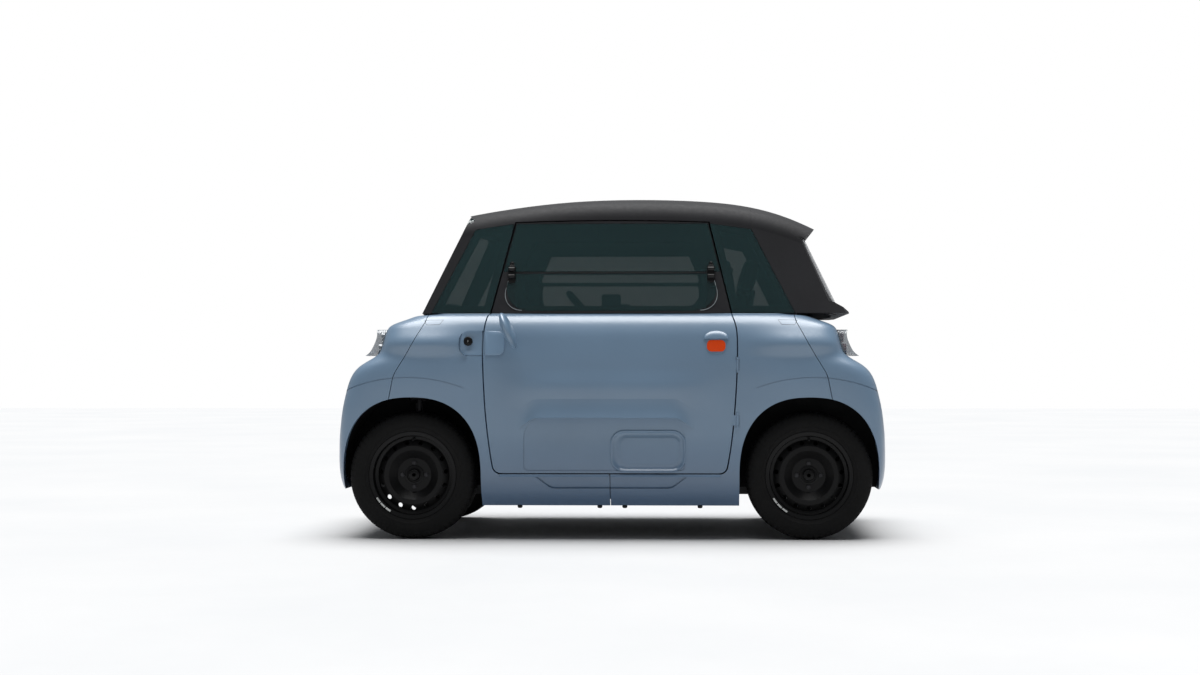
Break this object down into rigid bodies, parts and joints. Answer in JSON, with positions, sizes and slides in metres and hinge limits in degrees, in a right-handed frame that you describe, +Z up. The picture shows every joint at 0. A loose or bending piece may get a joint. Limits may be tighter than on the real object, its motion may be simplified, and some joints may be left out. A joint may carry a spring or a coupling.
{
  "type": "microcar",
  "caption": "Small two-seat electric car with a boxy rounded body, rear- and front-hinged doors and wheels at the corners.",
  "frame": {"origin": "on the ground plane, midway between the axles and between the wheels of one axle", "axes": "+X to the tail (the nose is at -X), +Y to the car's right side, +Z up"},
  "size_m": [2.4102, 1.702, 1.5279],
  "materials": {
    "body_paint": "satin steel-blue paint on moulded plastic panels",
    "black_plastic": "grained black plastic",
    "tinted_glass": "dark green-grey tinted glass",
    "rear_glass": "light grey rear window",
    "lamp_cover": "clear ribbed lamp cover",
    "orange_lens": "orange lens",
    "tyre": "black tyre rubber",
    "wheel_steel": "black painted pressed steel",
    "chassis_steel": "black painted steel tube",
    "suspension_steel": "dark cast and turned steel",
    "liner_plastic": "matt black liner",
    "cabin_plastic": "dark grey moulded trim",
    "seat_fabric": "dark grey woven cover",
    "battery_case": "ribbed aluminium case",
    "motor_case": "cast aluminium case"
  },
  "bodies": {
    "body": {"front_panel": "body_paint", "rear_panel": "body_paint", "quarter_front_left": "body_paint", "quarter_front_right": "body_paint", "quarter_rear_left": "body_paint", "quarter_rear_right": "body_paint", "cabin_frame": "black_plastic", "roof_panel": "black_plastic", "rear_cap": "black_plastic", "windscreen": "tinted_glass", "rear_window": "rear_glass", "quarter_glass": "tinted_glass", "headlamps": "lamp_cover", "tail_lamps": "lamp_cover", "seats": "seat_fabric", "dashboard": "cabin_plastic", "front_liners": "liner_plastic", "rear_liners": "liner_plastic", "chassis_frame": "chassis_steel", "floor_tub": "cabin_plastic", "battery_block": "battery_case", "motor_block": "motor_case", "front_suspension": "suspension_steel", "rear_axle": "suspension_steel"},
    "door_left": {"door_left": "body_paint", "door_frame_left": "black_plastic", "door_glass_left": "tinted_glass", "mirror_left": "body_paint", "side_marker_left": "orange_lens"},
    "door_right": {"door_right": "body_paint", "door_frame_right": "black_plastic", "door_glass_right": "tinted_glass", "mirror_right": "body_paint", "side_marker_right": "orange_lens"},
    "knuckle_left": {"knuckle_left": "suspension_steel"},
    "knuckle_right": {"knuckle_right": "suspension_steel"},
    "wheel_front_left": {"tyre_front_left": "tyre", "rim_front_left": "wheel_steel"},
    "wheel_front_right": {"tyre_front_right": "tyre", "rim_front_right": "wheel_steel"},
    "wheel_rear_left": {"tyre_rear_left": "tyre", "rim_rear_left": "wheel_steel"},
    "wheel_rear_right": {"tyre_rear_right": "tyre", "rim_rear_right": "wheel_steel"},
    "steering_wheel": {"steering_wheel": "cabin_plastic"}
  },
  "joints": [
    {"name": "door_left_hinge", "type": "hinge", "parent": "body", "child": "door_left", "pos_m": [0.552, -0.688, 0.6], "axis": [0, 0, 1], "range_deg": [0, 75]},
    {"name": "door_right_hinge", "type": "hinge", "parent": "body", "child": "door_right", "pos_m": [-0.552, 0.688, 0.6], "axis": [0, 0, 1], "range_deg": [0, 75]},
    {"name": "steering", "type": "hinge", "parent": "body", "child": "steering_wheel", "pos_m": [-0.1, -0.232, 0.96], "axis": [0.7659, 0, 0.6429], "range_deg": [-450, 450]},
    {"name": "knuckle_left_steer", "type": "hinge", "parent": "body", "child": "knuckle_left", "pos_m": [-0.864, -0.5, 0.175], "axis": [0, 0.1647, 0.9863], "range_deg": [-30, 30]},
    {"name": "knuckle_right_steer", "type": "hinge", "parent": "body", "child": "knuckle_right", "pos_m": [-0.864, 0.5, 0.175], "axis": [0, -0.1647, 0.9863], "range_deg": [-30, 30]},
    {"name": "wheel_front_left_spin", "type": "hinge", "parent": "knuckle_left", "child": "wheel_front_left", "pos_m": [-0.864, -0.555, 0.278], "axis": [0, 1, 0], "continuous": true},
    {"name": "wheel_front_right_spin", "type": "hinge", "parent": "knuckle_right", "child": "wheel_front_right", "pos_m": [-0.864, 0.555, 0.278], "axis": [0, 1, 0], "continuous": true},
    {"name": "wheel_rear_left_spin", "type": "hinge", "parent": "body", "child": "wheel_rear_left", "pos_m": [0.864, -0.555, 0.278], "axis": [0, 1, 0], "continuous": true},
    {"name": "wheel_rear_right_spin", "type": "hinge", "parent": "body", "child": "wheel_rear_right", "pos_m": [0.864, 0.555, 0.278], "axis": [0, 1, 0], "continuous": true}
  ],
  "couplings": [
    {"joint": "knuckle_left_steer", "follows": "steering", "ratio": 0.066667},
    {"joint": "knuckle_right_steer", "follows": "steering", "ratio": 0.066667}
  ]
}
